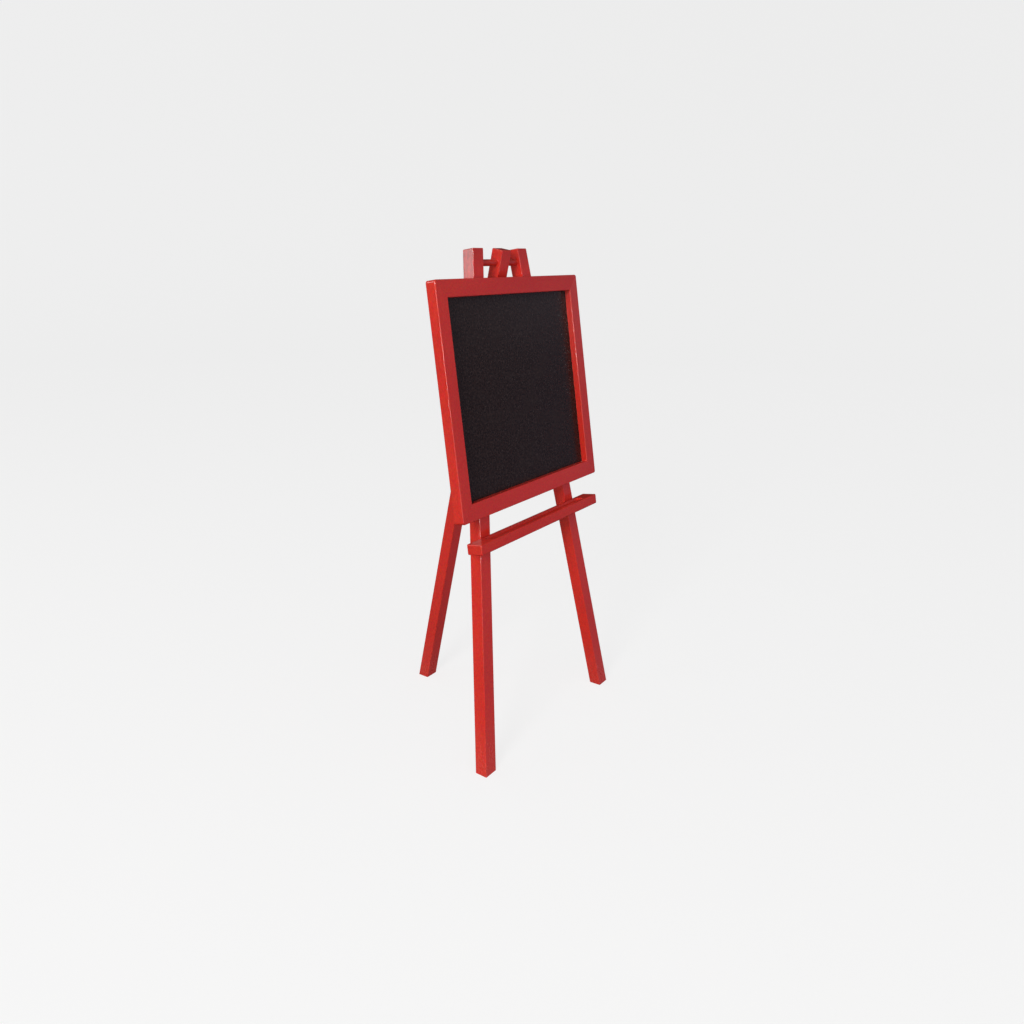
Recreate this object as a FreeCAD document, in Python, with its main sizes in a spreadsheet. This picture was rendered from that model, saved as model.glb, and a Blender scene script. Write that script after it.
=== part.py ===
import FreeCAD, Part
import math
import os

# Menu chalkboard easel: a painted timber tripod with a framed chalkboard and a
# chalk ledge.  Millimetres, +Z up, the board faces -Y, +X is the viewer's right.
# Origin: middle of the footprint, on the floor.

doc = FreeCAD.newDocument("menu_easel")
sheet = doc.addObject("Spreadsheet::Sheet", "params")

DIMENSIONS = [
    # alias, value, note
    ("lean", 9.75, "front legs lean back from vertical, degrees"),
    ("back_lean", 10.0, "rear leg leans from vertical, degrees"),
    ("stock_wide", 40.0, "leg timber, wide side"),
    ("stock_deep", 30.0, "leg timber, narrow side"),
    ("leg_run", 1194.0, "front legs measured up their own plane"),
    ("foot_half", 279.0, "front leg centre line from the middle, at the floor"),
    ("top_half", 93.5, "front leg centre line from the middle, at the top"),
    ("arris", 2.0, "rounding of the timber arrises"),
    ("depth_half", 214.14, "half of the footprint's depth"),
    ("pivot_drop", 32.0, "pivot below the leg tops"),
    ("dowel_dia", 16.0, "pivot dowel"),
    ("dowel_long", 200.0, "pivot dowel length"),
    ("run_gap", 0.05, "radial clearance of the rear leg on its dowel"),
    ("rear_side", 11.0, "rear leg off the middle, towards +X"),
    ("board_wide", 610.0, "framed board, overall width"),
    ("board_high", 530.0, "framed board, overall height"),
    ("board_low", 593.0, "lower edge of the board, up the leg plane"),
    ("frame_face", 39.0, "frame member, face width"),
    ("frame_thick", 26.0, "frame member, thickness"),
    ("corner_round", 6.0, "eased outer corners of the frame"),
    ("joint_wide", 0.25, "eased edge of each mitre on the front, width"),
    ("joint_deep", 0.5, "eased edge of each mitre on the front, depth"),
    ("rabbet_wide", 8.0, "rabbet behind the opening, width"),
    ("rabbet_deep", 10.0, "rabbet behind the opening, depth"),
    ("panel_thick", 4.0, "chalkboard panel"),
    ("panel_gap", 0.5, "gap around the panel in its rabbet"),
    ("bead_round", 3.0, "rounding of the back beads"),
    ("ledge_long", 540.0, "chalk ledge length"),
    ("ledge_low", 516.0, "underside of the ledge, up the leg plane"),
    ("ledge_high", 25.0, "chalk ledge height"),
    ("ledge_deep", 40.0, "chalk ledge depth"),
    ("ledge_round", 3.0, "rounding of the ledge"),
    ("trough_half", 217.5, "chalk groove, half of its length"),
    ("trough_wide", 24.0, "chalk groove, width"),
    ("trough_deep", 8.0, "chalk groove, depth"),
    ("trough_out", 20.5, "chalk groove, middle from the ledge's back"),
    ("trough_rim", 1.0, "rounding of the groove's rim"),
    ("screw_dia", 4.5, "wood screw"),
    ("head_dia", 9.0, "countersunk head"),
    ("board_screw_long", 50.0, "screws that hold the board"),
    ("ledge_screw_long", 60.0, "screws that hold the ledge"),
    ("tip_long", 6.0, "screw point"),
    ("slot_long", 4.8, "cross recess, length"),
    ("slot_wide", 1.0, "cross recess, width"),
    ("slot_deep", 1.6, "cross recess, depth"),
    ("brad_dia", 1.4, "brad"),
    ("brad_long", 15.0, "brad length"),
    ("brad_pitch", 190.0, "brads along the long beads"),
    ("brad_rise", 150.0, "brads along the short beads"),
    ("key_thick", 4.0, "corner key, thickness"),
    ("key_across", 24.0, "corner key, across the mitre"),
    ("key_along", 26.0, "corner key, along the mitre"),
    ("key_back", 14.0, "corner key, above the frame's back"),
]
P = {}
for row, (alias, value, note) in enumerate(DIMENSIONS, start=1):
    sheet.set("A%d" % row, alias)
    sheet.set("B%d" % row, repr(value))
    sheet.set("C%d" % row, note)
    sheet.setAlias("B%d" % row, alias)
    P[alias] = value
doc.recompute()


class Size(object):
    """A length or angle that carries its value and its spreadsheet formula."""

    def __init__(self, value, text):
        self.value = float(value)
        self.text = text

    def _mix(self, other, sign, flip=False):
        o = other if isinstance(other, Size) else Size(other, repr(float(other)))
        a, b = (o, self) if flip else (self, o)
        v = {"+": a.value + b.value, "-": a.value - b.value, "*": a.value * b.value,
             "/": a.value / b.value if b.value else 0.0}[sign]
        return Size(v, "(%s %s %s)" % (a.text, sign, b.text))

    def __add__(self, o): return self._mix(o, "+")
    def __radd__(self, o): return self._mix(o, "+", True)
    def __sub__(self, o): return self._mix(o, "-")
    def __rsub__(self, o): return self._mix(o, "-", True)
    def __mul__(self, o): return self._mix(o, "*")
    def __rmul__(self, o): return self._mix(o, "*", True)
    def __truediv__(self, o): return self._mix(o, "/")
    def __neg__(self): return Size(-self.value, "(0 - %s)" % self.text)


def cell(alias):
    return Size(P[alias], "params.%s" % alias)


def num(value):
    return Size(value, repr(float(value)))


def sind(a): return Size(math.sin(math.radians(a.value)), "sin(%s)" % a.text)
def cosd(a): return Size(math.cos(math.radians(a.value)), "cos(%s)" % a.text)
def tand(a): return Size(math.tan(math.radians(a.value)), "tan(%s)" % a.text)


C = {alias: cell(alias) for alias, value, note in DIMENSIONS}

# slope of a front leg in its plane, and the half width of a level slice of it
slope = (C["top_half"] - C["foot_half"]) / C["leg_run"]
splay_len = math.hypot(1.0, slope.value)
level_half = Size(P["stock_wide"] / 2.0 * splay_len,
                  "(params.stock_wide / 2 * sqrt(1 + pow(%s; 2)))" % slope.text)
pivot_run = C["leg_run"] - C["pivot_drop"]            # pivot, up the leg plane
board_top = C["board_low"] + C["board_high"]
ledge_top = C["ledge_low"] + C["ledge_high"]
board_half = C["board_wide"] / 2
pivot_y = pivot_run * sind(C["lean"]) + C["stock_deep"] / 2 * cosd(C["lean"]) - C["depth_half"]
pivot_z = pivot_run * cosd(C["lean"]) - C["stock_deep"] / 2 * sind(C["lean"])


def leg_centre(run):
    return C["foot_half"] + slope * run


# ---------------------------------------------------------------- placements
def set_placement(obj, x, y, z, angle):
    """Tilt about X by angle, then move; every number is bound to the sheet."""
    obj.Placement = FreeCAD.Placement(FreeCAD.Vector(x.value, y.value, z.value),
                                      FreeCAD.Rotation(FreeCAD.Vector(1, 0, 0), angle.value))
    obj.setExpression(".Placement.Base.x", x.text)
    obj.setExpression(".Placement.Base.y", y.text)
    obj.setExpression(".Placement.Base.z", z.text)
    obj.setExpression(".Placement.Rotation.Angle", angle.text)


def in_front_plane(obj):
    """Local x across, y up the lean, z square out of the front of the legs."""
    set_placement(obj, num(0), -C["depth_half"], num(0), 90.0 - C["lean"])


def in_rear_plane(obj):
    """Local origin on the pivot, x across, y up the rear leg, z forwards."""
    set_placement(obj, C["rear_side"], pivot_y, pivot_z, 90.0 + C["back_lean"])


# ------------------------------------------------------------------- sketches
def new_body(label):
    body = doc.addObject("PartDesign::Body", label)
    body.Label = label
    return body


def plane_of(body, role):
    for feature in body.Origin.OriginFeatures:
        if feature.Role == role:
            return feature
    raise RuntimeError(role)


def new_sketch(body, name, role, offset=None):
    sk = body.newObject("Sketcher::SketchObject", name)
    sk.AttachmentSupport = [(plane_of(body, role), "")]
    sk.MapMode = "FlatFace"
    if offset is not None:
        sk.AttachmentOffset = FreeCAD.Placement(FreeCAD.Vector(0, 0, offset.value), FreeCAD.Rotation())
        sk.setExpression("AttachmentOffset.Base.z", offset.text)
    return sk


def hold_point(sk, geo, pos, x, y):
    """Pin one sketch point at (x, y) from the origin with two driven sizes."""
    import Sketcher
    for axis, size, zero_on in (("DistanceX", x, -2), ("DistanceY", y, -1)):
        if size is None:
            continue
        if abs(size.value) < 1e-9:
            sk.addConstraint(Sketcher.Constraint("PointOnObject", geo, pos, zero_on))
        elif size.value > 0:
            n = sk.addConstraint(Sketcher.Constraint(axis, -1, 1, geo, pos, size.value))
            sk.setExpression("Constraints[%d]" % n, size.text)
        else:
            n = sk.addConstraint(Sketcher.Constraint(axis, geo, pos, -1, 1, -size.value))
            sk.setExpression("Constraints[%d]" % n, (-size).text)


def add_polygon(sk, points):
    import Sketcher
    count = len(points)
    vec = [FreeCAD.Vector(x.value, y.value, 0) for x, y in points]
    ids = [sk.addGeometry(Part.LineSegment(vec[i], vec[(i + 1) % count]), False) for i in range(count)]
    for i in range(count):
        sk.addConstraint(Sketcher.Constraint("Coincident", ids[i], 2, ids[(i + 1) % count], 1))
    for i, (x, y) in enumerate(points):
        hold_point(sk, ids[i], 1, x, y)
    return ids


def add_circle(sk, x, y, radius):
    import Sketcher
    g = sk.addGeometry(Part.Circle(FreeCAD.Vector(x.value, y.value, 0), FreeCAD.Vector(0, 0, 1),
                                   radius.value), False)
    n = sk.addConstraint(Sketcher.Constraint("Radius", g, radius.value))
    sk.setExpression("Constraints[%d]" % n, radius.text)
    hold_point(sk, g, 3, x, y)
    return g


def add_corner_cut(sk, x, y, sx, sy, radius):
    """The sliver outside a rounded corner whose sharp corner is (x, y)."""
    import Sketcher
    ax, ay = x - sx * radius, y
    bx, by = x, y - sy * radius
    a = FreeCAD.Vector(ax.value, ay.value, 0)
    b = FreeCAD.Vector(bx.value, by.value, 0)
    c = FreeCAD.Vector(x.value, y.value, 0)
    l1 = sk.addGeometry(Part.LineSegment(a, c), False)
    l2 = sk.addGeometry(Part.LineSegment(c, b), False)
    first = {(1, 1): 0.0, (-1, 1): 0.5, (-1, -1): 1.0, (1, -1): 1.5}[(sx, sy)] * math.pi
    circle = Part.Circle(FreeCAD.Vector(ax.value, by.value, 0), FreeCAD.Vector(0, 0, 1), radius.value)
    arc = sk.addGeometry(Part.ArcOfCircle(circle, first, first + math.pi / 2), False)
    sk.addConstraint(Sketcher.Constraint("Coincident", l1, 2, l2, 1))
    hold_point(sk, l1, 1, ax, ay)
    hold_point(sk, l2, 1, x, y)
    hold_point(sk, l2, 2, bx, by)
    starts_at_b = sx * sy > 0
    sk.addConstraint(Sketcher.Constraint("Coincident", l2, 2, arc, 1 if starts_at_b else 2))
    sk.addConstraint(Sketcher.Constraint("Coincident", l1, 1, arc, 2 if starts_at_b else 1))
    hold_point(sk, arc, 3, ax, None)


def add_capsule(sk, half, y, radius):
    """Half of a capsule that lies along x at height y, with its axis as a guide line."""
    import Sketcher
    v = FreeCAD.Vector
    hx, cy, r = half.value, y.value, radius.value
    tip = half + radius
    base = sk.addGeometry(Part.LineSegment(v(-hx - r, cy, 0), v(hx + r, cy, 0)), False)
    ring_r = sk.addGeometry(Part.ArcOfCircle(Part.Circle(v(hx, cy, 0), v(0, 0, 1), r), 0, math.pi / 2), False)
    top = sk.addGeometry(Part.LineSegment(v(hx, cy + r, 0), v(-hx, cy + r, 0)), False)
    ring_l = sk.addGeometry(Part.ArcOfCircle(Part.Circle(v(-hx, cy, 0), v(0, 0, 1), r),
                                             math.pi / 2, math.pi), False)
    sk.addConstraint(Sketcher.Constraint("Coincident", base, 2, ring_r, 1))
    sk.addConstraint(Sketcher.Constraint("Coincident", ring_r, 2, top, 1))
    sk.addConstraint(Sketcher.Constraint("Coincident", top, 2, ring_l, 1))
    sk.addConstraint(Sketcher.Constraint("Coincident", ring_l, 2, base, 1))
    hold_point(sk, base, 1, -tip, y)
    hold_point(sk, base, 2, tip, y)
    hold_point(sk, top, 1, half, y + radius)
    hold_point(sk, top, 2, -half, y + radius)
    hold_point(sk, ring_r, 3, half, None)
    hold_point(sk, ring_l, 3, -half, None)
    guide = sk.addGeometry(Part.LineSegment(v(-hx - r, cy, 0), v(hx + r, cy, 0)), True)
    sk.addConstraint(Sketcher.Constraint("Coincident", guide, 1, base, 1))
    sk.addConstraint(Sketcher.Constraint("Coincident", guide, 2, base, 2))


# ------------------------------------------------------------------- features
def pad(body, sk, name, length, reverse=False, middle=False):
    f = body.newObject("PartDesign::Pad", name)
    f.Profile = sk
    f.Length = length.value
    f.setExpression("Length", length.text)
    f.Reversed = reverse
    if middle:
        f.SideType = "Symmetric"
    doc.recompute()
    return f


def pocket(body, sk, name, length, reverse=False):
    """Cut away; stops if the cut removed nothing."""
    before = body.Shape.Volume
    f = body.newObject("PartDesign::Pocket", name)
    f.Profile = sk
    f.Length = length.value
    f.setExpression("Length", length.text)
    f.Reversed = reverse
    doc.recompute()
    if not body.Shape.Volume < before - 1e-6:
        raise RuntimeError("%s of %s cuts nothing" % (name, body.Label))
    return f


def edges_where(shape, test):
    names = []
    for i, edge in enumerate(shape.Edges, start=1):
        if test(edge):
            names.append("Edge%d" % i)
    return names


def round_edges(body, name, radius, test):
    base = body.Tip
    names = edges_where(base.Shape, test)
    if not names:
        raise RuntimeError("no edges to round in %s" % body.Label)
    f = body.newObject("PartDesign::Fillet", name)
    f.Base = (base, names)
    f.Radius = radius.value
    f.setExpression("Radius", radius.text)
    doc.recompute()
    return f


def countersink(body, name, size, test):
    base = body.Tip
    names = edges_where(base.Shape, test)
    if not names:
        raise RuntimeError("no rims to countersink in %s" % body.Label)
    f = body.newObject("PartDesign::Chamfer", name)
    f.Base = (base, names)
    f.Size = size.value
    f.setExpression("Size", size.text)
    doc.recompute()
    return f


def curve_of(edge):
    try:
        return edge.Curve
    except TypeError:
        return None


def is_line(edge):
    curve = curve_of(edge)
    return curve is not None and curve.TypeId == "Part::GeomLine"


def is_rim(edge, radius):
    curve = curve_of(edge)
    return (curve is not None and curve.TypeId == "Part::GeomCircle"
            and abs(curve.Radius - radius) < 1e-4)


def local_ends(edge):
    return [v.Point for v in edge.Vertexes]


def hole(body, name, role, offset, x, y, radius, length, reverse=False):
    sk = new_sketch(body, name + "_sketch", role, offset)
    add_circle(sk, x, y, radius)
    return pocket(body, sk, name, length, reverse)


# ---------------------------------------------------------------- front legs
deep = C["stock_deep"]
screw_r = C["screw_dia"] / 2
mid_top_rail = board_top - C["frame_face"] / 2
mid_low_rail = C["board_low"] + C["frame_face"] / 2
mid_ledge = C["ledge_low"] + C["ledge_high"] / 2
leg_screws = [("upper", mid_top_rail, C["board_screw_long"]),
              ("lower", mid_low_rail, C["board_screw_long"]),
              ("ledge", mid_ledge, C["ledge_screw_long"])]


def front_leg(label, side):
    body = new_body(label)
    in_front_plane(body)
    sk = new_sketch(body, label + "_outline", "XY_Plane")
    f, t = C["foot_half"] * side, C["top_half"] * side
    add_polygon(sk, [(f - level_half, num(0)), (f + level_half, num(0)),
                     (t + level_half, C["leg_run"]), (t - level_half, C["leg_run"])])
    pad(body, sk, label + "_pad", deep, reverse=True)
    # the foot is cut level with the floor
    cut = new_sketch(body, label + "_foot_sketch", "YZ_Plane")
    add_polygon(cut, [(num(0), num(0)), (num(0), -deep), (deep * tand(C["lean"]), -deep)])
    pocket(body, cut, label + "_foot", C["board_wide"], reverse=(side > 0))
    doc.recompute()
    run = P["leg_run"]
    round_edges(body, label + "_arrises", C["arris"],
                lambda e: is_line(e) and (e.Length > run * 0.9 or
                                          all(abs(p.y - run) < 1e-4 for p in local_ends(e))))
    # blind socket for the pivot dowel, across the leg from its inner face
    hole(body, label + "_socket", "YZ_Plane", None, pivot_run, -deep / 2, C["dowel_dia"] / 2,
         C["dowel_long"] / 2, reverse=(side > 0))
    # clearance holes with countersinks at the back
    sk = new_sketch(body, label + "_screw_sketch", "XY_Plane")
    for name, at, length in leg_screws:
        add_circle(sk, leg_centre(at) * side, at, screw_r)
    pocket(body, sk, label + "_screw_holes", deep, reverse=False)
    back = -P["stock_deep"]
    r = P["screw_dia"] / 2
    countersink(body, label + "_countersinks", (C["head_dia"] - C["screw_dia"]) / 2,
                lambda e: is_rim(e, r) and abs(e.Curve.Center.z - back) < 1e-4)
    return body


leg_left = front_leg("front_leg_left", -1)
leg_right = front_leg("front_leg_right", 1)

# ------------------------------------------------------------------ rear leg
rear = new_body("rear_leg")
in_rear_plane(rear)
sk = new_sketch(rear, "rear_leg_side", "YZ_Plane")
foot_front = (deep / 2 * sind(C["back_lean"]) - pivot_z) / cosd(C["back_lean"])
foot_back = (-deep / 2 * sind(C["back_lean"]) - pivot_z) / cosd(C["back_lean"])
add_polygon(sk, [(C["pivot_drop"], deep / 2), (C["pivot_drop"], -deep / 2),
                 (foot_back, -deep / 2), (foot_front, deep / 2)])
pad(rear, sk, "rear_leg_pad", C["stock_wide"], middle=True)
run = P["pivot_drop"]
round_edges(rear, "rear_leg_arrises", C["arris"],
            lambda e: is_line(e) and (e.Length > 1000.0 or
                                      all(abs(p.y - run) < 1e-4 for p in local_ends(e))))
sk = new_sketch(rear, "rear_leg_bore_sketch", "YZ_Plane", -C["stock_wide"] / 2)
add_circle(sk, num(0), num(0), C["dowel_dia"] / 2 + C["run_gap"])
pocket(rear, sk, "rear_leg_bore", C["stock_wide"], reverse=True)

# --------------------------------------------------------------- pivot dowel
dowel = new_body("pivot_dowel")
in_front_plane(dowel)
sk = new_sketch(dowel, "pivot_dowel_round", "YZ_Plane")
add_circle(sk, pivot_run, -deep / 2, C["dowel_dia"] / 2)
pad(dowel, sk, "pivot_dowel_pad", C["dowel_long"], middle=True)

# --------------------------------------------------------------- chalk ledge
ledge = new_body("chalk_ledge")
in_front_plane(ledge)
sk = new_sketch(ledge, "chalk_ledge_outline", "XY_Plane")
lh = C["ledge_long"] / 2
add_polygon(sk, [(-lh, C["ledge_low"]), (lh, C["ledge_low"]), (lh, ledge_top), (-lh, ledge_top)])
pad(ledge, sk, "chalk_ledge_pad", C["ledge_deep"])
round_edges(ledge, "chalk_ledge_edges", C["ledge_round"], is_line)
# stopped chalk groove: a round-nosed cut whose centre runs above the ledge's top
cut_r = (C["trough_wide"] * C["trough_wide"] / 4 + C["trough_deep"] * C["trough_deep"]) / (C["trough_deep"] * 2)
cut_rise = cut_r - C["trough_deep"]
end_run = C["trough_half"] - C["trough_wide"] / 2          # centre of each round end
sk = new_sketch(ledge, "chalk_groove_profile", "XZ_Plane", -(ledge_top + cut_rise))
add_capsule(sk, end_run, C["trough_out"], cut_r)
before = ledge.Shape.Volume
groove = ledge.newObject("PartDesign::Groove", "chalk_groove")
groove.Profile = sk
groove.ReferenceAxis = (sk, ["Axis0"])
groove.Angle = 360.0
doc.recompute()
if not ledge.Shape.Volume < before - 1e-6:
    raise RuntimeError("the chalk groove cuts nothing")
round_edges(ledge, "chalk_groove_rim", C["trough_rim"],
            lambda e: all(abs(p.y - ledge_top.value) < 1e-4 and
                          abs(p.z - P["trough_out"]) < P["trough_wide"] / 2 + 1e-4 and
                          abs(p.x) < P["trough_half"] + 1e-4 for p in local_ends(e)))
sk = new_sketch(ledge, "chalk_ledge_pilots", "XY_Plane")
for side in (-1, 1):
    add_circle(sk, leg_centre(mid_ledge) * side, mid_ledge, screw_r)
pocket(ledge, sk, "chalk_ledge_pilot_holes", C["ledge_screw_long"] - deep, reverse=True)


# ------------------------------------------------------------- board's frame
face, thick = C["frame_face"], C["frame_thick"]
low, high = C["board_low"], board_top
open_half, open_low, open_high = board_half - face, low + face, high - face


def key_outline(cx, cy):
    """Corner key: a rectangle turned 45 degrees, across the mitre."""
    a = C["key_across"] * math.sqrt(0.125)
    b = C["key_along"] * math.sqrt(0.125)
    return a, b


def key_polygon(cx, cy, mx, my):
    """(mx, my) points from the key's middle to the frame's outer corner."""
    a, b = key_outline(cx, cy)
    pts = []
    for i, j in ((1, 1), (1, -1), (-1, -1), (-1, 1)):
        # i along the mitre, j across it
        x = cx + b * (i * mx) + a * (j * -my)
        y = cy + b * (i * my) + a * (j * mx)
        pts.append((x, y))
    return pts


key_spots = []
for mx in (-1, 1):
    for my in (-1, 1):
        cx = (board_half - face / 2) * mx
        cy = (high - face / 2) if my > 0 else (low + face / 2)
        key_spots.append((cx, cy, mx, my))


def frame_member(label, outline, rabbet, corners, is_outer, is_inner, brads):
    outline_is_rail = label.endswith("rail")
    body = new_body(label)
    in_front_plane(body)
    sk = new_sketch(body, label + "_outline", "XY_Plane")
    add_polygon(sk, outline)
    pad(body, sk, label + "_pad", thick)
    # rabbet for the panel and its beads, from the back
    sk = new_sketch(body, label + "_rabbet_sketch", "XY_Plane")
    add_polygon(sk, rabbet)
    pocket(body, sk, label + "_rabbet", C["rabbet_deep"], reverse=True)
    # eased outer corners
    for i, (x, y, mx, my) in enumerate(corners, start=1):
        sk = new_sketch(body, "%s_ease_%d_sketch" % (label, i), "XY_Plane")
        add_corner_cut(sk, x, y, mx, my, C["corner_round"])
        pocket(body, sk, "%s_ease_%d" % (label, i), thick, reverse=True)

    def chosen(e):
        zs = [p.z for p in local_ends(e)]
        flat_front = all(abs(z - P["frame_thick"]) < 1e-4 for z in zs)
        flat_back = all(abs(z) < 1e-4 for z in zs)
        if not (flat_front or flat_back):
            return False
        if not is_line(e):
            return True
        pts = local_ends(e)
        return all(is_outer(p) for p in pts) or (flat_front and all(is_inner(p) for p in pts))
    round_edges(body, label + "_arrises", C["arris"], chosen)
    # hairline step along each mitre, so that the joint reads on the front
    for i, (x, y, mx, my) in enumerate(corners, start=1):
        jx = open_half * mx
        jy = open_high if my > 0 else open_low
        if outline_is_rail:
            dx, dy = -(C["joint_wide"] * mx), num(0)
        else:
            dx, dy = num(0), -(C["joint_wide"] * my)
        sk = new_sketch(body, "%s_joint_%d_sketch" % (label, i), "XY_Plane", thick - C["joint_deep"])
        add_polygon(sk, [(jx, jy), (x, y), (x + dx, y + dy), (jx + dx, jy + dy)])
        pocket(body, sk, "%s_joint_%d" % (label, i), C["joint_deep"], reverse=True)
    # slots for the corner keys
    for i, (cx, cy, mx, my) in enumerate(key_spots, start=1):
        if not any(mx == c[2] and my == c[3] for c in corners):
            continue
        sk = new_sketch(body, "%s_key_%d_sketch" % (label, i), "XY_Plane", C["key_back"])
        add_polygon(sk, key_polygon(cx, cy, mx, my))
        pocket(body, sk, "%s_key_slot_%d" % (label, i), C["key_thick"], reverse=True)
    # brad holes, in the plane of the beads
    role, start, at, deepness, reverse, swap = brads
    sk = new_sketch(body, label + "_brad_sketch", role, start)
    for s in at:
        if swap:
            add_circle(sk, s, bead_mid, C["brad_dia"] / 2)
        else:
            add_circle(sk, s, bead_mid, C["brad_dia"] / 2)
    pocket(body, sk, label + "_brad_holes", deepness, reverse=reverse)
    return body


bead_mid = (C["rabbet_deep"] - C["panel_thick"]) / 2
rab = C["rabbet_wide"]
into_frame = C["brad_long"] - rab
board_mid = (low + high) / 2
along = [-C["brad_pitch"], num(0), C["brad_pitch"]]
upright = [board_mid - C["brad_rise"], board_mid, board_mid + C["brad_rise"]]

tl, tr = (-board_half, high, -1, 1), (board_half, high, 1, 1)
bl, br = (-board_half, low, -1, -1), (board_half, low, 1, -1)
near = lambda a, b: abs(a - b) < 1e-4

# The XZ plane's normal points along -y of the body, so its offsets are negative.
top_rail = frame_member(
    "frame_top_rail",
    [(-board_half, high), (board_half, high), (open_half, open_high), (-open_half, open_high)],
    [(-open_half - rab, open_high), (open_half + rab, open_high),
     (open_half + rab, open_high + rab), (-open_half - rab, open_high + rab)],
    [tl, tr], lambda p: near(p.y, high.value), lambda p: near(p.y, open_high.value),
    ("XZ_Plane", -(open_high + rab), along, into_frame, False, False))
bottom_rail = frame_member(
    "frame_bottom_rail",
    [(-open_half, open_low), (open_half, open_low), (board_half, low), (-board_half, low)],
    [(-open_half - rab, open_low - rab), (open_half + rab, open_low - rab),
     (open_half + rab, open_low), (-open_half - rab, open_low)],
    [bl, br], lambda p: near(p.y, low.value), lambda p: near(p.y, open_low.value),
    ("XZ_Plane", -(open_low - rab), along, into_frame, True, False))
stile_left = frame_member(
    "frame_stile_left",
    [(-board_half, low), (-open_half, open_low), (-open_half, open_high), (-board_half, high)],
    [(-open_half - rab, open_low - rab), (-open_half, open_low - rab),
     (-open_half, open_high + rab), (-open_half - rab, open_high + rab)],
    [tl, bl], lambda p: near(p.x, -board_half.value), lambda p: near(p.x, -open_half.value),
    ("YZ_Plane", -(open_half + rab), upright, into_frame, False, True))
stile_right = frame_member(
    "frame_stile_right",
    [(open_half, open_low), (board_half, low), (board_half, high), (open_half, open_high)],
    [(open_half, open_low - rab), (open_half + rab, open_low - rab),
     (open_half + rab, open_high + rab), (open_half, open_high + rab)],
    [tr, br], lambda p: near(p.x, board_half.value), lambda p: near(p.x, open_half.value),
    ("YZ_Plane", open_half + rab, upright, into_frame, True, True))
for rail, at in ((top_rail, mid_top_rail), (bottom_rail, mid_low_rail)):
    sk = new_sketch(rail, rail.Label + "_pilot_sketch", "XY_Plane")
    for side in (-1, 1):
        add_circle(sk, leg_centre(at) * side, at, screw_r)
    pocket(rail, sk, rail.Label + "_pilots", C["board_screw_long"] - deep, reverse=True)

# ------------------------------------------------------------ panel and beads
panel = new_body("chalkboard_panel")
in_front_plane(panel)
gap = C["panel_gap"]
bead_thick = C["rabbet_deep"] - C["panel_thick"]
sk = new_sketch(panel, "chalkboard_panel_outline", "XY_Plane", bead_thick)
pw = open_half + rab - gap
add_polygon(sk, [(-pw, open_low - rab + gap), (pw, open_low - rab + gap),
                 (pw, open_high + rab - gap), (-pw, open_high + rab - gap)])
pad(panel, sk, "chalkboard_panel_pad", C["panel_thick"])


def bead(label, x0, x1, y0, y1, is_inner, brads):
    body = new_body(label)
    in_front_plane(body)
    sk = new_sketch(body, label + "_outline", "XY_Plane")
    add_polygon(sk, [(x0, y0), (x1, y0), (x1, y1), (x0, y1)])
    pad(body, sk, label + "_pad", bead_thick)
    round_edges(body, label + "_round", C["bead_round"],
                lambda e: is_line(e) and all(abs(p.z) < 1e-4 and is_inner(p) for p in local_ends(e)))
    role, start, at, reverse = brads
    sk = new_sketch(body, label + "_brad_sketch", role, start)
    for s in at:
        add_circle(sk, s, bead_mid, C["brad_dia"] / 2)
    pocket(body, sk, label + "_brad_holes", rab, reverse=reverse)
    return body


side_low, side_high = open_low + gap / 2, open_high - gap / 2
bead("back_bead_top", -open_half - rab, open_half + rab, open_high, open_high + rab,
     lambda p: near(p.y, open_high.value), ("XZ_Plane", -open_high, along, False))
bead("back_bead_bottom", -open_half - rab, open_half + rab, open_low - rab, open_low,
     lambda p: near(p.y, open_low.value), ("XZ_Plane", -open_low, along, True))
bead("back_bead_left", -open_half - rab, -open_half, side_low, side_high,
     lambda p: near(p.x, -open_half.value), ("YZ_Plane", -open_half, upright, False))
bead("back_bead_right", open_half, open_half + rab, side_low, side_high,
     lambda p: near(p.x, open_half.value), ("YZ_Plane", open_half, upright, True))


# ------------------------------------------------------------------ fasteners
def bind_placement(obj, x, y, z, rotation):
    obj.Placement = FreeCAD.Placement(FreeCAD.Vector(x.value, y.value, z.value), rotation)
    obj.setExpression(".Placement.Base.x", x.text)
    obj.setExpression(".Placement.Base.y", y.text)
    obj.setExpression(".Placement.Base.z", z.text)


def group(label, members):
    g = doc.addObject("Part::Compound", label)
    g.Label = label
    g.Links = members
    doc.recompute()
    in_front_plane(g)
    doc.recompute()
    return g


def cone(name, r1, r2, height):
    c = doc.addObject("Part::Cone", name)
    for prop, size in (("Radius1", r1), ("Radius2", r2), ("Height", height)):
        setattr(c, prop, size.value)
        c.setExpression(prop, size.text)
    return c


def cylinder(name, radius, height):
    c = doc.addObject("Part::Cylinder", name)
    for prop, size in (("Radius", radius), ("Height", height)):
        setattr(c, prop, size.value)
        c.setExpression(prop, size.text)
    return c


def box(name, length, width, height):
    b = doc.addObject("Part::Box", name)
    for prop, size in (("Length", length), ("Width", width), ("Height", height)):
        setattr(b, prop, size.value)
        b.setExpression(prop, size.text)
    return b


upright_turn = FreeCAD.Rotation()


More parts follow.
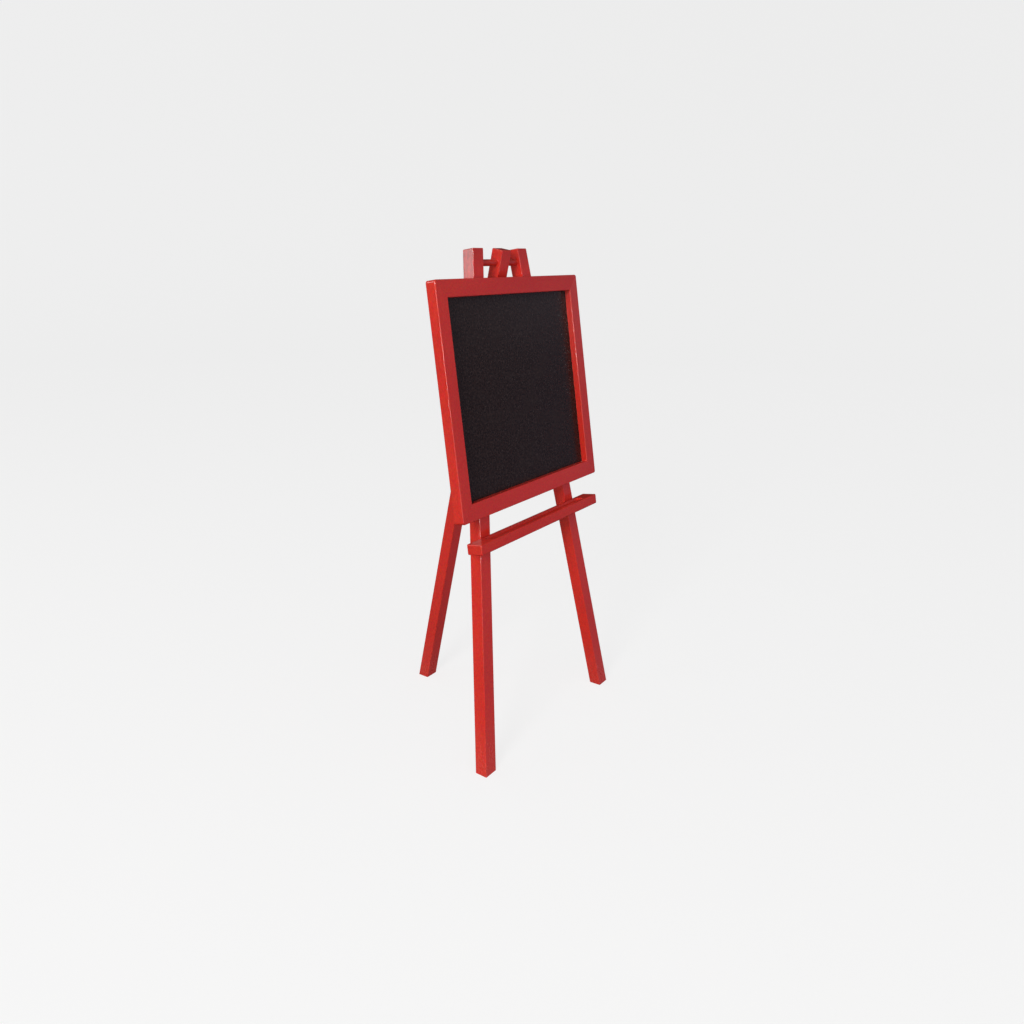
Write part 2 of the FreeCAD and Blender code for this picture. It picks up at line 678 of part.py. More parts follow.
def wood_screw(name, x, y, length):
    """Countersunk screw along +z of the leg plane, its head flush with the leg's back."""
    back = -deep
    head_high = (C["head_dia"] - C["screw_dia"]) / 2
    head = cone(name + "_head", C["head_dia"] / 2, screw_r, head_high)
    bind_placement(head, x, y, back, upright_turn)
    shank = cylinder(name + "_shank", screw_r, length - C["tip_long"] - head_high)
    bind_placement(shank, x, y, back + head_high, upright_turn)
    tip = cone(name + "_tip", screw_r, num(0.4), C["tip_long"])
    bind_placement(tip, x, y, back + length - C["tip_long"], upright_turn)
    whole = doc.addObject("Part::MultiFuse", name + "_whole")
    whole.Shapes = [head, shank, tip]
    bar_a = box(name + "_recess_a", C["slot_long"], C["slot_wide"], C["slot_deep"])
    bind_placement(bar_a, x - C["slot_long"] / 2, y - C["slot_wide"] / 2, back, upright_turn)
    bar_b = box(name + "_recess_b", C["slot_wide"], C["slot_long"], C["slot_deep"])
    bind_placement(bar_b, x - C["slot_wide"] / 2, y - C["slot_long"] / 2, back, upright_turn)
    cross = doc.addObject("Part::MultiFuse", name + "_cross")
    cross.Shapes = [bar_a, bar_b]
    done = doc.addObject("Part::Cut", name)
    done.Base = whole
    done.Tool = cross
    return done


board_screws, ledge_screws = [], []
for side, word in ((-1, "left"), (1, "right")):
    for name, at, length in leg_screws:
        s = wood_screw("screw_%s_%s" % (name, word), leg_centre(at) * side, at, length)
        (ledge_screws if name == "ledge" else board_screws).append(s)
group("board_screws", board_screws)
group("ledge_screws", ledge_screws)

brads = []
x_turn = FreeCAD.Rotation(FreeCAD.Vector(0, 1, 0), 90)
y_turn = FreeCAD.Rotation(FreeCAD.Vector(1, 0, 0), -90)
for i, s in enumerate(along, start=1):
    b = cylinder("brad_top_%d" % i, C["brad_dia"] / 2, C["brad_long"])
    bind_placement(b, s, open_high, bead_mid, y_turn)
    brads.append(b)
    b = cylinder("brad_bottom_%d" % i, C["brad_dia"] / 2, C["brad_long"])
    bind_placement(b, s, open_low - C["brad_long"], bead_mid, y_turn)
    brads.append(b)
for i, s in enumerate(upright, start=1):
    b = cylinder("brad_right_%d" % i, C["brad_dia"] / 2, C["brad_long"])
    bind_placement(b, open_half, s, bead_mid, x_turn)
    brads.append(b)
    b = cylinder("brad_left_%d" % i, C["brad_dia"] / 2, C["brad_long"])
    bind_placement(b, -open_half - C["brad_long"], s, bead_mid, x_turn)
    brads.append(b)
group("bead_brads", brads)

keys = []
for i, (cx, cy, mx, my) in enumerate(key_spots, start=1):
    k = box("key_%d" % i, C["key_along"], C["key_across"], C["key_thick"])
    corner = key_polygon(cx, cy, mx, my)
    turn = 45.0 if mx == my else 135.0
    # the box's own corner sits at the rectangle's lowest corner once turned
    x0 = cx - (C["key_along"] * math.cos(math.radians(turn)) - C["key_across"] * math.sin(math.radians(turn))) / 2
    y0 = cy - (C["key_along"] * math.sin(math.radians(turn)) + C["key_across"] * math.cos(math.radians(turn))) / 2
    bind_placement(k, x0, y0, C["key_back"], FreeCAD.Rotation(FreeCAD.Vector(0, 0, 1), turn))
    keys.append(k)
group("corner_keys", keys)

doc.recompute()

# ---------------------------------------------------------------------- files
NODES = ["front_leg_left", "front_leg_right", "rear_leg", "pivot_dowel",
         "frame_top_rail", "frame_bottom_rail", "frame_stile_left", "frame_stile_right",
         "chalkboard_panel", "back_bead_top", "back_bead_bottom", "back_bead_left",
         "back_bead_right", "bead_brads", "corner_keys", "board_screws",
         "chalk_ledge", "ledge_screws"]
for obj in doc.Objects:
    if "Invalid" in obj.State or "Error" in obj.State:
        raise RuntimeError("%s is in state %s" % (obj.Label, obj.State))
os.makedirs("parts", exist_ok=True)
for node in NODES:
    found = doc.getObjectsByLabel(node)
    if len(found) != 1:
        raise RuntimeError("%s: %d objects carry this label" % (node, len(found)))
    shape = found[0].Shape
    if shape.isNull() or not shape.isValid():
        raise RuntimeError("%s has no valid shape" % node)
    shape.exportStep("parts/%s.step" % node)
    bb = shape.BoundBox
    print("%-20s solids %d  x %.2f..%.2f  y %.2f..%.2f  z %.2f..%.2f  vol %.0f" % (
        node, len(shape.Solids), bb.XMin, bb.XMax, bb.YMin, bb.YMax, bb.ZMin, bb.ZMax, shape.Volume))
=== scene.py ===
import math

import bpy
import bmesh
from mathutils import Matrix, Vector

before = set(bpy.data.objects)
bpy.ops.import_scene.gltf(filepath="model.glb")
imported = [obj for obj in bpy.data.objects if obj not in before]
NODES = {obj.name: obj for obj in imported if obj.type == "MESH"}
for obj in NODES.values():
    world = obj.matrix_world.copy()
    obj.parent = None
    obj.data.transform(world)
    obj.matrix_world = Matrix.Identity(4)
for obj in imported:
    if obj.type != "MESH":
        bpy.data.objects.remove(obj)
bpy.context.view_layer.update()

scene = bpy.context.scene

# ------------------------------------------------------------------ directions
# The leg plane leans back, the rear leg leans the other way.  Both come from the CAD boxes.
LEAN = math.radians(9.75)
BACK_LEAN = math.radians(10.0)
UP = Vector((0, math.sin(LEAN), math.cos(LEAN)))          # up the leg plane
OUT = Vector((0, -math.cos(LEAN), math.sin(LEAN)))        # square out of its front
ACROSS = Vector((1, 0, 0))
SPLAY = math.atan2(279.0 - 93.5, 1194.0)
LEG_L = (ACROSS * math.sin(SPLAY) + UP * math.cos(SPLAY)).normalized()
LEG_R = (-ACROSS * math.sin(SPLAY) + UP * math.cos(SPLAY)).normalized()
REAR = Vector((0, -math.sin(BACK_LEAN), math.cos(BACK_LEAN)))
REAR_OUT = Vector((0, -math.cos(BACK_LEAN), -math.sin(BACK_LEAN)))


# ------------------------------------------------------------- node shorthand
class Net(object):
    """Small helper that adds shader nodes and links them."""

    def __init__(self, material):
        material.use_nodes = True
        self.tree = material.node_tree
        self.tree.nodes.clear()
        self.x = 0

    def add(self, kind, **props):
        n = self.tree.nodes.new(kind)
        self.x += 180
        n.location = (self.x, 0)
        for k, v in props.items():
            setattr(n, k, v)
        return n

    def link(self, a, b):
        self.tree.links.new(a, b)

    def put(self, socket, value):
        if hasattr(value, "links") or isinstance(value, bpy.types.NodeSocket):
            self.link(value, socket)
        else:
            socket.default_value = value

    def math(self, op, a, b=None, c=None, clamp=False):
        n = self.add("ShaderNodeMath", operation=op, use_clamp=clamp)
        self.put(n.inputs[0], a)
        if b is not None:
            self.put(n.inputs[1], b)
        if c is not None:
            self.put(n.inputs[2], c)
        return n.outputs[0]

    def dot(self, a, vector):
        n = self.add("ShaderNodeVectorMath", operation="DOT_PRODUCT")
        self.put(n.inputs[0], a)
        self.put(n.inputs[1], tuple(vector))
        return n.outputs["Value"]

    def combine(self, x, y, z):
        n = self.add("ShaderNodeCombineXYZ")
        for s, v in zip(n.inputs, (x, y, z)):
            self.put(s, v)
        return n.outputs[0]

    def noise(self, vector, scale, detail=3.0, rough=0.5, distortion=0.0):
        n = self.add("ShaderNodeTexNoise", noise_dimensions="3D")
        self.put(n.inputs["Vector"], vector)
        n.inputs["Scale"].default_value = scale
        n.inputs["Detail"].default_value = detail
        n.inputs["Roughness"].default_value = rough
        n.inputs["Distortion"].default_value = distortion
        return n.outputs["Fac"]

    def ramp(self, value, stops, interpolation="LINEAR"):
        n = self.add("ShaderNodeValToRGB")
        n.color_ramp.interpolation = interpolation
        while len(n.color_ramp.elements) < len(stops):
            n.color_ramp.elements.new(0.5)
        for e, (pos, col) in zip(n.color_ramp.elements, stops):
            e.position = pos
            e.color = col if len(col) == 4 else tuple(col) + (1.0,)
        self.put(n.inputs[0], value)
        return n.outputs["Color"]

    def level(self, value, lo, hi, out_lo=0.0, out_hi=1.0, smooth=True):
        n = self.add("ShaderNodeMapRange")
        n.interpolation_type = "SMOOTHSTEP" if smooth else "LINEAR"
        n.clamp = True
        self.put(n.inputs["Value"], value)
        for key, v in (("From Min", lo), ("From Max", hi), ("To Min", out_lo), ("To Max", out_hi)):
            self.put(n.inputs[key], v)
        return n.outputs["Result"]

    def mix(self, factor, a, b, blend="MIX"):
        n = self.add("ShaderNodeMix", data_type="RGBA", blend_type=blend)
        n.clamp_factor = True
        self.put(n.inputs[0], factor)
        self.put(n.inputs[6], a)
        self.put(n.inputs[7], b)
        return n.outputs[2]

    def bump(self, height, distance, strength=1.0, normal=None):
        n = self.add("ShaderNodeBump")
        n.inputs["Distance"].default_value = distance
        n.inputs["Strength"].default_value = strength
        self.put(n.inputs["Height"], height)
        if normal is not None:
            self.link(normal, n.inputs["Normal"])
        return n.outputs["Normal"]


def rgb(r, g, b):
    """sRGB 0-255 to linear RGBA."""
    def lin(c):
        c /= 255.0
        return c / 12.92 if c <= 0.04045 else ((c + 0.055) / 1.055) ** 2.4
    return (lin(r), lin(g), lin(b), 1.0)


def grain_space(net, along, seed):
    """Object position as (side, side, along the timber), in metres, shifted by seed."""
    coord = net.add("ShaderNodeTexCoord")
    a = Vector(along).normalized()
    s = ACROSS.cross(a)
    if s.length < 0.5:
        s = UP.cross(a)
    s.normalize()
    t = a.cross(s).normalized()
    p = coord.outputs["Object"]
    x, y, z = net.dot(p, s), net.dot(p, t), net.dot(p, a)
    shift = 3.7 * seed
    return (net.math("ADD", x, shift), net.math("ADD", y, shift * 0.61), net.math("ADD", z, shift * 1.3), coord)


def red_paint(name, along, seed, tone_and_shade=1.0, top_sheen=0.0, top_shade=1.0, outer_top_shade=1.0, coat=0.78):
    """Red gloss enamel, brushed along a softwood timber."""
    m = bpy.data.materials.new(name)
    net = Net(m)
    x, y, z, coord = grain_space(net, along, seed)

    # brush strokes: fine lines that run along the timber
    strokes = net.combine(x, y, net.math("MULTIPLY", z, 0.022))
    brush = net.noise(strokes, 900.0, 3.0, 0.55)
    brush_wide = net.noise(strokes, 240.0, 2.0, 0.5)
    # the wood's growth rings read through the paint
    ring_space = net.combine(x, y, net.math("MULTIPLY", z, 0.05))
    rings = net.noise(ring_space, 130.0, 2.5, 0.45, 0.35)
    rings = net.math("PINGPONG", net.math("MULTIPLY", rings, 5.0), 0.5)
    # soft unevenness of the dried film
    film = net.noise(net.combine(x, y, net.math("MULTIPLY", z, 0.35)), 60.0, 2.0, 0.5)
    peel = net.noise(net.combine(x, y, z), 520.0, 1.5, 0.5)
    height = net.math("ADD", net.math("MULTIPLY", brush, 0.30),
                      net.math("ADD", net.math("MULTIPLY", brush_wide, 0.35),
                               net.math("ADD", net.math("MULTIPLY", rings, 0.55),
                                        net.math("ADD", net.math("MULTIPLY", film, 1.2),
                                                 net.math("MULTIPLY", peel, 0.10)))))
    normal = net.bump(height, 0.00007, 1.0)

    # colour: a warm red that is a little deeper where the film is thick
    tone = net.noise(net.combine(x, y, net.math("MULTIPLY", z, 0.2)), 14.0, 3.0, 0.55)
    base = net.ramp(tone, [(0.30, rgb(199, 40, 30)), (0.52, rgb(206, 44, 33)), (0.75, rgb(212, 49, 36))])
    base = net.mix(net.math("MULTIPLY", net.level(rings, 0.30, 0.50), 0.05), base, rgb(180, 33, 26))
    base = net.mix(net.math("MULTIPLY", net.level(brush, 0.55, 0.75), 0.08), base, rgb(222, 60, 44))
    # fine mottling of the pigment, in depth and in hue
    deep = net.noise(net.combine(x, y, net.math("MULTIPLY", z, 0.75)), 270.0, 2.0, 0.5)
    hue = net.noise(net.combine(y, x, net.math("MULTIPLY", z, 0.75)), 250.0, 2.0, 0.5)
    cool = net.noise(net.combine(net.math("ADD", x, 0.7), y, net.math("MULTIPLY", z, 0.75)), 230.0, 2.0, 0.5)
    grain = net.add("ShaderNodeVectorMath", operation="MULTIPLY")
    net.link(base, grain.inputs[0])
    net.link(net.combine(net.level(deep, 0.25, 0.75, 0.86, 1.14, smooth=False),
                         net.level(hue, 0.25, 0.75, 0.55, 1.45, smooth=False),
                         net.level(cool, 0.25, 0.75, 0.55, 1.45, smooth=False)), grain.inputs[1])
    base = grain.outputs[0]
    # partly painted light: the whole piece lighter or darker for how it is lit
    if tone_and_shade != 1.0:
        lift = net.add("ShaderNodeVectorMath", operation="SCALE")
        net.link(base, lift.inputs[0])
        lift.inputs["Scale"].default_value = tone_and_shade
        base = lift.outputs[0]

    height_up = net.dot(coord.outputs["Object"], UP)
    if top_sheen:
        # painted reflection: paler towards the top, standing in for a sheen
        base = net.mix(net.level(height_up, 0.70, 1.12, 0.0, top_sheen), base, rgb(205, 196, 200))
    if top_shade != 1.0:
        # painted shade: the ends above the board darker
        top_darken = net.add("ShaderNodeVectorMath", operation="SCALE")
        net.link(base, top_darken.inputs[0])
        net.link(net.level(height_up, 1.10, 1.15, 1.0, top_shade), top_darken.inputs["Scale"])
        base = top_darken.outputs[0]
    if outer_top_shade != 1.0:
        # painted shade: the outer face of the end darker, a little unevenly
        outer = net.level(net.dot(coord.outputs["Normal"], ACROSS), -0.6, -0.9)
        streaks = net.noise(net.combine(x, y, net.math("MULTIPLY", z, 0.35)), 190.0, 3.0, 0.6)
        uneven = net.level(streaks, 0.38, 0.62, 0.50, 1.50, smooth=False)
        outer_shade_mask = net.math("MULTIPLY", net.math("MULTIPLY", outer, net.level(height_up, 1.07, 1.11)), uneven)
        outer_darken = net.add("ShaderNodeVectorMath", operation="SCALE")
        net.link(base, outer_darken.inputs[0])
        net.link(net.math("SUBTRACT", 1.0, net.math("MULTIPLY", outer_shade_mask, 1.0 - outer_top_shade)), outer_darken.inputs["Scale"])
        base = outer_darken.outputs[0]

    # floor dust and scuffs on the lowest hand's breadth
    above_floor = net.dot(coord.outputs["Object"], (0, 0, 1))
    scuff = net.noise(net.combine(x, y, net.math("MULTIPLY", z, 0.8)), 150.0, 4.0, 0.6)
    dirt = net.math("MULTIPLY", net.level(above_floor, 0.150, 0.0), net.level(scuff, 0.30, 0.62, 0.35, 1.0))
    base = net.mix(net.math("MULTIPLY", dirt, 0.055), base, rgb(176, 160, 150))

    # the film is thinner and paler on the arrises
    bevel = net.add("ShaderNodeBevel")
    bevel.samples = 6
    bevel.inputs["Radius"].default_value = 0.0022
    geo = net.add("ShaderNodeNewGeometry")
    bent = net.add("ShaderNodeVectorMath", operation="DOT_PRODUCT")
    net.link(bevel.outputs["Normal"], bent.inputs[0])
    net.link(geo.outputs["Normal"], bent.inputs[1])
    edge = net.level(bent.outputs["Value"], 0.985, 0.90)
    worn = net.noise(net.combine(x, y, net.math("MULTIPLY", z, 0.5)), 75.0, 4.0, 0.62)
    thin = net.math("MULTIPLY", edge, net.level(worn, 0.42, 0.62))
    base = net.mix(net.math("MULTIPLY", thin, 0.50), base, rgb(230, 92, 74))

    rough = net.math("ADD", net.level(film, 0.25, 0.75, 0.32, 0.42),
                     net.math("MULTIPLY", net.level(brush, 0.35, 0.70), 0.06))
    gloss = net.math("ADD", net.level(film, 0.25, 0.75, 0.05, 0.11),
                     net.math("MULTIPLY", net.level(brush_wide, 0.40, 0.70), 0.07))
    # the arrises have lost their gloss in small patches
    rub = net.noise(net.combine(x, y, net.math("MULTIPLY", z, 0.9)), 230.0, 2.0, 0.6)
    dull = net.math("MULTIPLY", edge, net.level(rub, 0.47, 0.60))
    gloss = net.math("ADD", gloss, net.math("MULTIPLY", dull, 0.30))
    gloss = net.math("ADD", gloss, net.math("MULTIPLY", dirt, 0.25))
    b = net.add("ShaderNodeBsdfPrincipled")
    net.link(base, b.inputs["Base Color"])
    net.link(rough, b.inputs["Roughness"])
    net.link(normal, b.inputs["Normal"])
    b.inputs["IOR"].default_value = 1.5
    b.inputs["Specular IOR Level"].default_value = 0.06
    b.inputs["Coat Weight"].default_value = coat
    net.link(gloss, b.inputs["Coat Roughness"])
    net.link(normal, b.inputs["Coat Normal"])
    out = net.add("ShaderNodeOutputMaterial")
    net.link(b.outputs[0], out.inputs["Surface"])
    return m


def chalkboard_paint():
    """Satin black writing face on brown hardboard."""
    m = bpy.data.materials.new("chalkboard_paint")
    net = Net(m)
    coord = net.add("ShaderNodeTexCoord")
    p = coord.outputs["Object"]
    u, v, w = net.dot(p, ACROSS), net.dot(p, UP), net.dot(p, OUT)
    flat = net.combine(u, v, w)
    tooth = net.noise(flat, 1500.0, 2.0, 0.6)
    roller = net.noise(flat, 160.0, 3.0, 0.5)
    # faint wiping marks of old chalk, broad and mostly level
    wipe = net.noise(net.combine(net.math("MULTIPLY", u, 0.35), v, 0.0), 16.0, 5.0, 0.62, 0.9)
    haze = net.noise(net.combine(u, v, 0.3), 5.0, 3.0, 0.5)
    dust = net.math("MULTIPLY", net.level(wipe, 0.45, 0.80), net.level(haze, 0.35, 0.70))
    black = net.mix(net.level(roller, 0.3, 0.7), (0.0236, 0.0093, 0.0060, 1), (0.0292, 0.0119, 0.0082, 1))
    black = net.mix(net.math("MULTIPLY", dust, 0.030), black, (0.42, 0.40, 0.39, 1))
    speck = net.noise(flat, 260.0, 2.0, 0.5)
    speck_two = net.noise(net.combine(v, u, w), 240.0, 2.0, 0.5)
    black = net.mix(net.level(speck, 0.40, 0.72, 0.0, 0.095, smooth=False), black, (0.29, 0.24, 0.235, 1))
    black = net.mix(net.level(speck_two, 0.34, 0.66, 0.0, 1.0, smooth=False), black, (0.0045, 0.0020, 0.0014, 1))
    # painted sheen: the black a touch paler towards the top and the right
    panel_sheen = net.math("MULTIPLY", net.level(v, 0.82, 1.08), net.level(u, -0.30, 0.26, 0.5, 1.0))
    black = net.mix(net.math("MULTIPLY", panel_sheen, 0.027), black, (0.42, 0.41, 0.42, 1))
    fibre = net.noise(flat, 420.0, 4.0, 0.7)
    mesh = net.noise(net.combine(u, v, 0.0), 1100.0, 1.0, 0.5)
    brown = net.ramp(fibre, [(0.25, rgb(84, 56, 36)), (0.55, rgb(112, 78, 51)), (0.80, rgb(138, 102, 70))])
    geo = net.add("ShaderNodeNewGeometry")
    n = coord.outputs["Normal"]
    front = net.level(net.dot(n, OUT), 0.2, 0.6)
    base = net.mix(front, brown, black)
    rough_black = net.math("ADD", net.level(roller, 0.3, 0.7, 0.24, 0.31), net.math("MULTIPLY", dust, 0.25))
    rough = net.math("ADD", net.math("MULTIPLY", front, rough_black),
                     net.math("MULTIPLY", net.math("SUBTRACT", 1.0, front), 0.75))
    height = net.math("ADD", net.math("MULTIPLY", tooth, 0.4),
                      net.math("ADD", net.math("MULTIPLY", roller, 0.5), net.math("MULTIPLY", mesh, 0.3)))
    normal = net.bump(height, 0.00005, 1.0)
    b = net.add("ShaderNodeBsdfPrincipled")
    net.link(base, b.inputs["Base Color"])
    net.link(rough, b.inputs["Roughness"])
    b.inputs["Specular IOR Level"].default_value = 0.16
    net.link(normal, b.inputs["Normal"])
    out = net.add("ShaderNodeOutputMaterial")
    net.link(b.outputs[0], out.inputs["Surface"])
    return m


def screw_metal():
    """Zinc plated steel with a fine turned finish."""
    m = bpy.data.materials.new("zinc_plated_steel")
    net = Net(m)
    coord = net.add("ShaderNodeTexCoord")
    p = coord.outputs["Object"]
    fine = net.noise(p, 2600.0, 3.0, 0.6)
    patch = net.noise(p, 420.0, 2.0, 0.5)
    base = net.mix(net.level(patch, 0.3, 0.7), (0.50, 0.49, 0.46, 1), (0.64, 0.62, 0.57, 1))
    b = net.add("ShaderNodeBsdfPrincipled")
    net.link(base, b.inputs["Base Color"])
    b.inputs["Metallic"].default_value = 1.0
    net.link(net.level(patch, 0.25, 0.75, 0.26, 0.42), b.inputs["Roughness"])
    net.link(net.bump(fine, 0.00002, 0.6), b.inputs["Normal"])
    out = net.add("ShaderNodeOutputMaterial")
    net.link(b.outputs[0], out.inputs["Surface"])
    return m


def bare_wood():
    """Unpainted birch of the corner keys."""
    m = bpy.data.materials.new("bare_birch")
    net = Net(m)
    coord = net.add("ShaderNodeTexCoord")
    p = coord.outputs["Object"]
    u, v, w = net.dot(p, ACROSS), net.dot(p, UP), net.dot(p, OUT)
    grain = net.noise(net.combine(net.math("MULTIPLY", u, 0.1), v, w), 500.0, 4.0, 0.6, 0.3)
    base = net.ramp(grain, [(0.3, rgb(176, 132, 84)), (0.6, rgb(205, 166, 116)), (0.8, rgb(222, 188, 142))])
    b = net.add("ShaderNodeBsdfPrincipled")
    net.link(base, b.inputs["Base Color"])
    b.inputs["Roughness"].default_value = 0.6
    net.link(net.bump(grain, 0.0001, 0.5), b.inputs["Normal"])
    out = net.add("ShaderNodeOutputMaterial")
    net.link(b.outputs[0], out.inputs["Surface"])
    return m


def dress(node, material):
    o = NODES[node]
    if not o.data.materials:
        o.data.materials.append(material)
    for i in range(len(o.material_slots)):
        o.material_slots[i].material = material


TIMBERS = [
    ("front_leg_left", LEG_L), ("front_leg_right", LEG_R), ("rear_leg", REAR), ("pivot_dowel", ACROSS),
    ("frame_top_rail", ACROSS), ("frame_bottom_rail", ACROSS), ("frame_stile_left", UP),
    ("frame_stile_right", UP), ("chalk_ledge", ACROSS), ("back_bead_top", ACROSS),
    ("back_bead_bottom", ACROSS), ("back_bead_left", UP), ("back_bead_right", UP),
]
# per-piece levels of the paint, partly a real difference between coats and partly painted light: lighter on pieces the
# lamps light too little, the dowel darker as painted shade between the legs
PIECE_TONES_AND_SHADE = {"front_leg_left": 1.06, "front_leg_right": 1.06, "rear_leg": 1.05, "pivot_dowel": 0.84, "frame_top_rail": 0.96,
         "chalk_ledge": 0.97, "frame_stile_right": 0.98}
# painted reflection on the upper part of the right stile
TOP_SHEENS = {"frame_stile_right": 0.030}
COATS = {"chalk_ledge": 0.58}        # the ledge is rubbed by hands and chalk
# painted shade at the tops of the legs above the board
TOP_SHADES = {"front_leg_left": 0.85, "front_leg_right": 0.85, "rear_leg": 0.90}
# painted shade on the outer face of the left leg's top
OUTER_TOP_SHADES = {"front_leg_left": 0.72}
for number, (node, along) in enumerate(TIMBERS, start=1):
    dress(node, red_paint("red_enamel_" + node, along, number, PIECE_TONES_AND_SHADE.get(node, 1.0),
                          TOP_SHEENS.get(node, 0.0), TOP_SHADES.get(node, 1.0), OUTER_TOP_SHADES.get(node, 1.0),
                          COATS.get(node, 0.78)))
dress("chalkboard_panel", chalkboard_paint())
steel = screw_metal()
for node in ("bead_brads", "board_screws", "ledge_screws"):
    dress(node, steel)
dress("corner_keys", bare_wood())


# ---------------------------------------------------------------------- stage
ROOM = [
    # toward, where the lobe starts, strength at its middle, tint
    ((0, 0, 1), 0.0, 0.20, (1.0, 1.0, 1.0)),
    ((0, -1, 0), 0.0, 0.33, (1.0, 1.0, 1.0)),
    ((0.80, -0.60, 0.0), 0.70, 0.11, (0.10, 0.16, 1.0)),
    ((-0.76, 0.56, -0.32), 0.80, 0.27, (1.0, 1.0, 1.0)),
    ((-0.10, 0.96, 0.26), 0.80, 0.34, (1.0, 1.0, 1.0)),
]
LIGHTS = [
    # name, place, aim, width, height, radiance, what it lights
    ("key_left", (-6.2, -1.35, 2.95), (0, 0, 0.7), 1.9, 2.6, 18.6, "all"),
    ("front_left", (-2.2, -2.9, 0.9), (0, 0, 0.6), 1.6, 1.5, 3.2, "all"),
    ("front", (-0.5, -3.6, 1.2), (0, 0, 0.6), 1.8, 1.6, 0.8, "all"),
    ("back_window", (-3.4, 2.8, 2.80), (0, 0, 1.1), 1.8, 1.6, 1.8, "all"),
    ("window_glint", (-3.39, 2.79, 2.74), (0, 0, 1.1), 1.8, 1.6, 4.5, "glints"),
    ("tall_strip", (-3.3, -0.95, 1.93), (0, 0, 1.1), 0.36, 2.6, 43.0, "glints"),
]
# broad weak light from the two sides that the main lights leave dark
FILLS = [
    # name, direction it travels, strength, spread in degrees
    ("fill_from_right", (-1.0, -0.06, 0.04), 1.30, 50.0),
    ("fill_from_back", (-0.05, -1.0, 0.10), 1.20, 50.0),
]
FLOOR_GLOW = 0.79


def floor_paint(name, colour, glow):
    """Matte studio floor, faintly mottled, with an even glow of its own."""
    m = bpy.data.materials.new(name)
    net = Net(m)
    coord = net.add("ShaderNodeTexCoord")
    soft = net.noise(coord.outputs["Object"], 2.2, 3.0, 0.5)
    base = net.mix(soft, tuple(c * 0.985 for c in colour[:3]) + (1,), colour)
    b = net.add("ShaderNodeBsdfPrincipled")
    net.link(base, b.inputs["Base Color"])
    b.inputs["Roughness"].default_value = 0.8
    b.inputs["Specular IOR Level"].default_value = 0.1
    b.inputs["Emission Color"].default_value = (1, 1, 1, 1)
    b.inputs["Emission Strength"].default_value = glow
    out = net.add("ShaderNodeOutputMaterial")
    net.link(b.outputs[0], out.inputs["Surface"])
    return m


def bowl(name, flat_radius, rim, height, segments=96, steps=16):
    """A round studio floor whose rim curves up into a wall."""
    bm = bmesh.new()
    profile = [(flat_radius * f, 0.0) for f in (0.25, 0.5, 0.75, 1.0)]
    for i in range(1, steps + 1):
        a = math.pi / 2 * i / steps
        profile.append((flat_radius + rim * math.sin(a), rim * (1 - math.cos(a))))
    profile.append((flat_radius + rim, height))
    centre = bm.verts.new((0, 0, 0))
    last = None
    for r, z in profile:
        ring = [bm.verts.new((r * math.cos(2 * math.pi * k / segments),
                              r * math.sin(2 * math.pi * k / segments), z)) for k in range(segments)]
        for k in range(segments):
            j = (k + 1) % segments
            if last is None:
                bm.faces.new((centre, ring[k], ring[j]))
            else:
                bm.faces.new((last[k], ring[k], ring[j], last[j]))
        last = ring
    me = bpy.data.meshes.new(name)
    bm.to_mesh(me)
    bm.free()
    for p in me.polygons:
        p.use_smooth = True
    o = bpy.data.objects.new(name, me)
    scene.collection.objects.link(o)
    return o


floor = bowl("studio_floor", 7.0, 3.0, 7.0)
floor.data.materials.append(floor_paint("pale_floor", (0.17, 0.17, 0.168, 1), FLOOR_GLOW))
floor.visible_glossy = False
floor.visible_diffuse = False
floor.visible_shadow = False

# soft light of the room, by direction
world = bpy.data.worlds.new("studio")
scene.world = world
world.use_nodes = True


class WorldNet(Net):
    def __init__(self, w):
        self.tree = w.node_tree
        self.tree.nodes.clear()
        self.x = 0


wn = WorldNet(world)
ray = wn.add("ShaderNodeTexCoord").outputs["Generated"]
total = None
for toward, start, strength, tint in ROOM:
    lobe = wn.level(wn.dot(ray, toward), start, 1.0, 0.0, strength, smooth=False)
    part = wn.add("ShaderNodeVectorMath", operation="SCALE")
    part.inputs[0].default_value = tint
    wn.link(lobe, part.inputs["Scale"])
    if total is None:
        total = part.outputs[0]
    else:
        both = wn.add("ShaderNodeVectorMath", operation="ADD")
        wn.link(total, both.inputs[0])
        wn.link(part.outputs[0], both.inputs[1])
        total = both.outputs[0]
bg = wn.add("ShaderNodeBackground")
wn.link(total, bg.inputs["Color"])
bg.inputs["Strength"].default_value = 1.0
wn.link(bg.outputs[0], wn.add("ShaderNodeOutputWorld").inputs["Surface"])


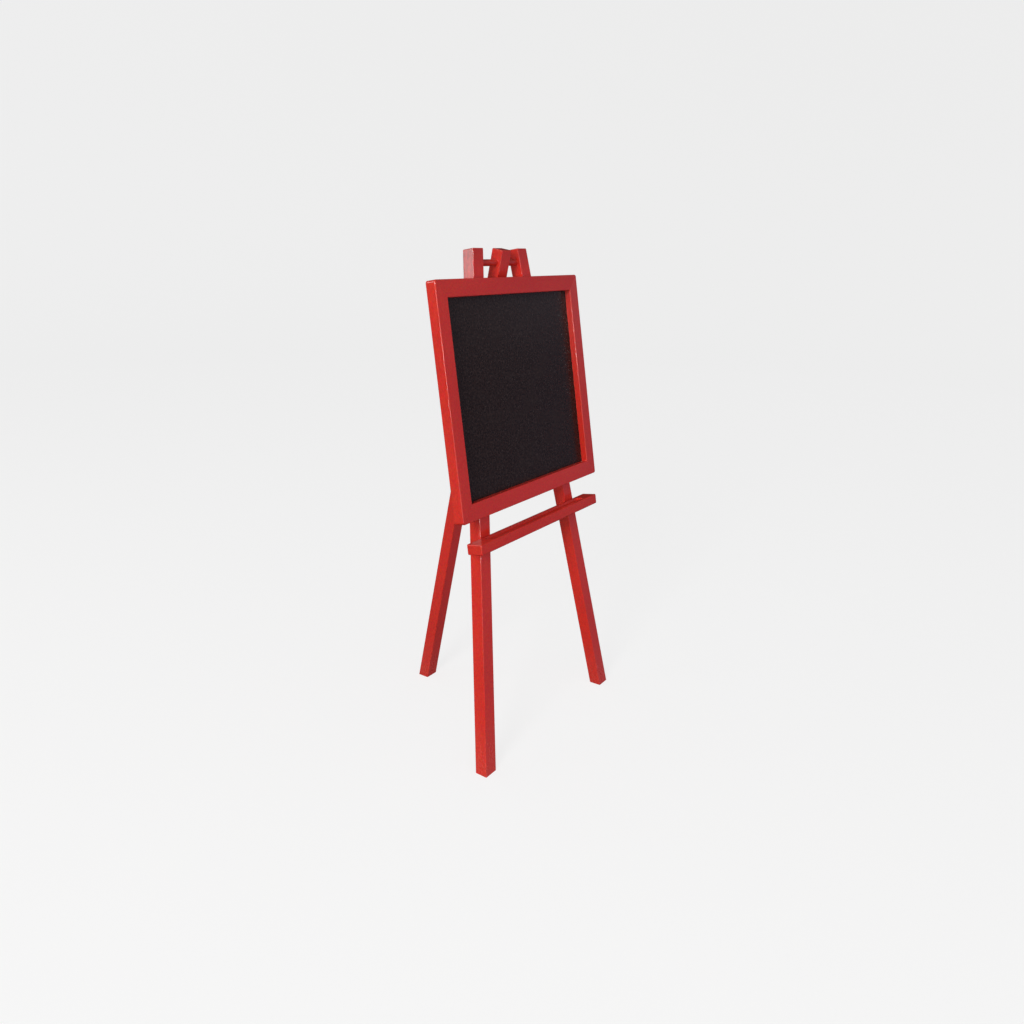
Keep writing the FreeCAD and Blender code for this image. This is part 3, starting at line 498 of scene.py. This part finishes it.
def area_light(name, pos, target, size_x, size_y, radiance, lights="all"):
    """A soft box; radiance is its brightness as seen.  "glints" is seen only in gloss, "fill" never."""
    data = bpy.data.lights.new(name, "AREA")
    data.shape = "RECTANGLE"
    data.size, data.size_y = size_x, size_y
    data.energy = radiance * math.pi * size_x * size_y
    o = bpy.data.objects.new(name, data)
    o.location = pos
    d = Vector(target) - Vector(pos)
    o.rotation_euler = d.to_track_quat("-Z", "Y").to_euler()
    o.visible_camera = False
    o.visible_diffuse = lights != "glints"
    o.visible_glossy = lights != "fill"
    scene.collection.objects.link(o)
    return o


for spec in LIGHTS:
    area_light(*spec)
for name, travel, strength, spread in FILLS:
    data = bpy.data.lights.new(name, "SUN")
    data.energy = strength
    data.angle = math.radians(spread)
    o = bpy.data.objects.new(name, data)
    o.rotation_euler = Vector(travel).to_track_quat("-Z", "Y").to_euler()
    o.visible_glossy = False
    o.visible_camera = False
    scene.collection.objects.link(o)

# --------------------------------------------------------------------- camera
cam_data = bpy.data.cameras.new("camera")
cam = bpy.data.objects.new("camera", cam_data)
scene.collection.objects.link(cam)
yaw, pitch, roll = math.radians(52.177), math.radians(13.399), math.radians(-0.741)
fw = Vector((math.sin(yaw) * math.cos(pitch), math.cos(yaw) * math.cos(pitch), -math.sin(pitch)))
rt = Vector((math.cos(yaw), -math.sin(yaw), 0.0))
dn = fw.cross(rt)
right = rt * math.cos(roll) + dn * math.sin(roll)
down = -rt * math.sin(roll) + dn * math.cos(roll)
rot = Matrix((right, -down, -fw)).transposed()
cam.matrix_world = Matrix.Translation((-1.772842, -1.178783, 1.176298)) @ rot.to_4x4()
cam_data.sensor_width = 36.0
cam_data.lens = 867.796 / 1024.0 * 36.0
cam_data.shift_x = (512.0 - 428.441) / 1024.0
cam_data.shift_y = (453.992 - 512.0) / 1024.0
cam_data.clip_start = 0.01
cam_data.clip_end = 60.0
scene.camera = cam

scene.view_settings.view_transform = "Standard"
scene.view_settings.look = "None"
scene.view_settings.exposure = 0.0
scene.view_settings.gamma = 1.0
